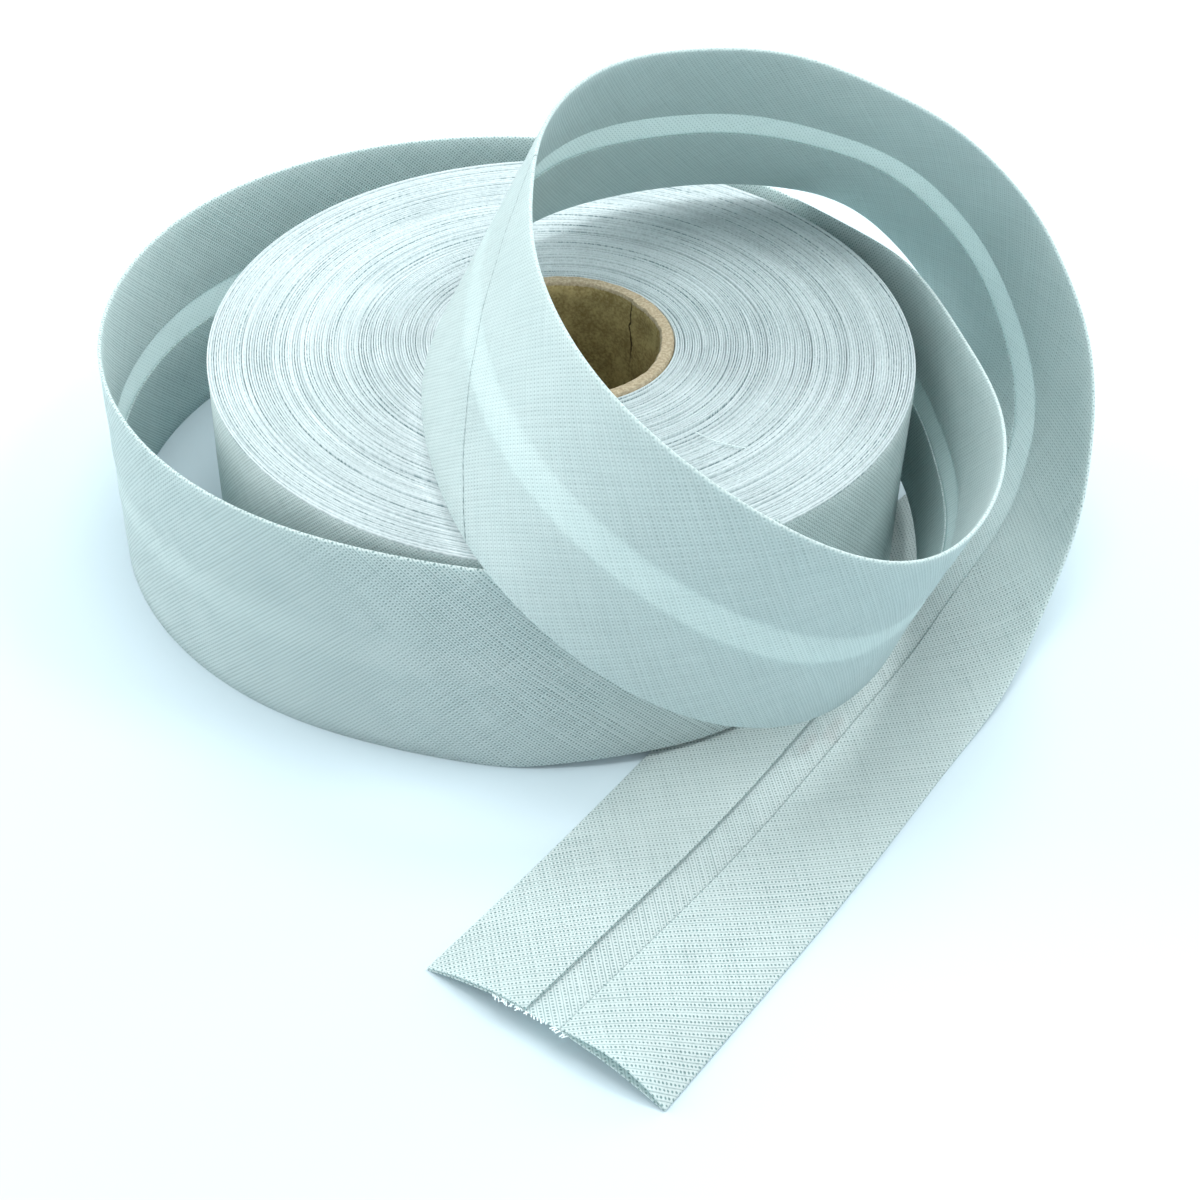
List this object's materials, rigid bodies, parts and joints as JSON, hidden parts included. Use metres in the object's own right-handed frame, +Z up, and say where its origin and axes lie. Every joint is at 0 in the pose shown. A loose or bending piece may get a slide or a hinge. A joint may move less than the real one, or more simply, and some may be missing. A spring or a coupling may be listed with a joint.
{
  "type": "roll of bias tape",
  "caption": "Roll of folded cotton bias tape on a cardboard core, standing flat, with a loose turn, a raised loop and a cut end.",
  "frame": {"origin": "on the surface the roll stands on, under the middle of the whole, loose tape included; the roll's axis is at x -0.0067, y 0.0287", "axes": "+Z up along the roll's axis, +Y away from the cut end, +X towards the side where the loop comes down"},
  "size_m": [0.1666, 0.1906, 0.0812],
  "materials": {
    "tape_edges": "close-packed folded edges of plain-weave cotton tape, pale grey-green",
    "cardboard": null,
    "tape_cloth": "plain-weave cotton cut on the bias, pressed folds, matt, pale grey-green"
  },
  "bodies": {
    "root": {"wound_roll": "tape_edges", "cardboard_core": "cardboard", "loose_tape": "tape_cloth"}
  },
  "joints": []
}
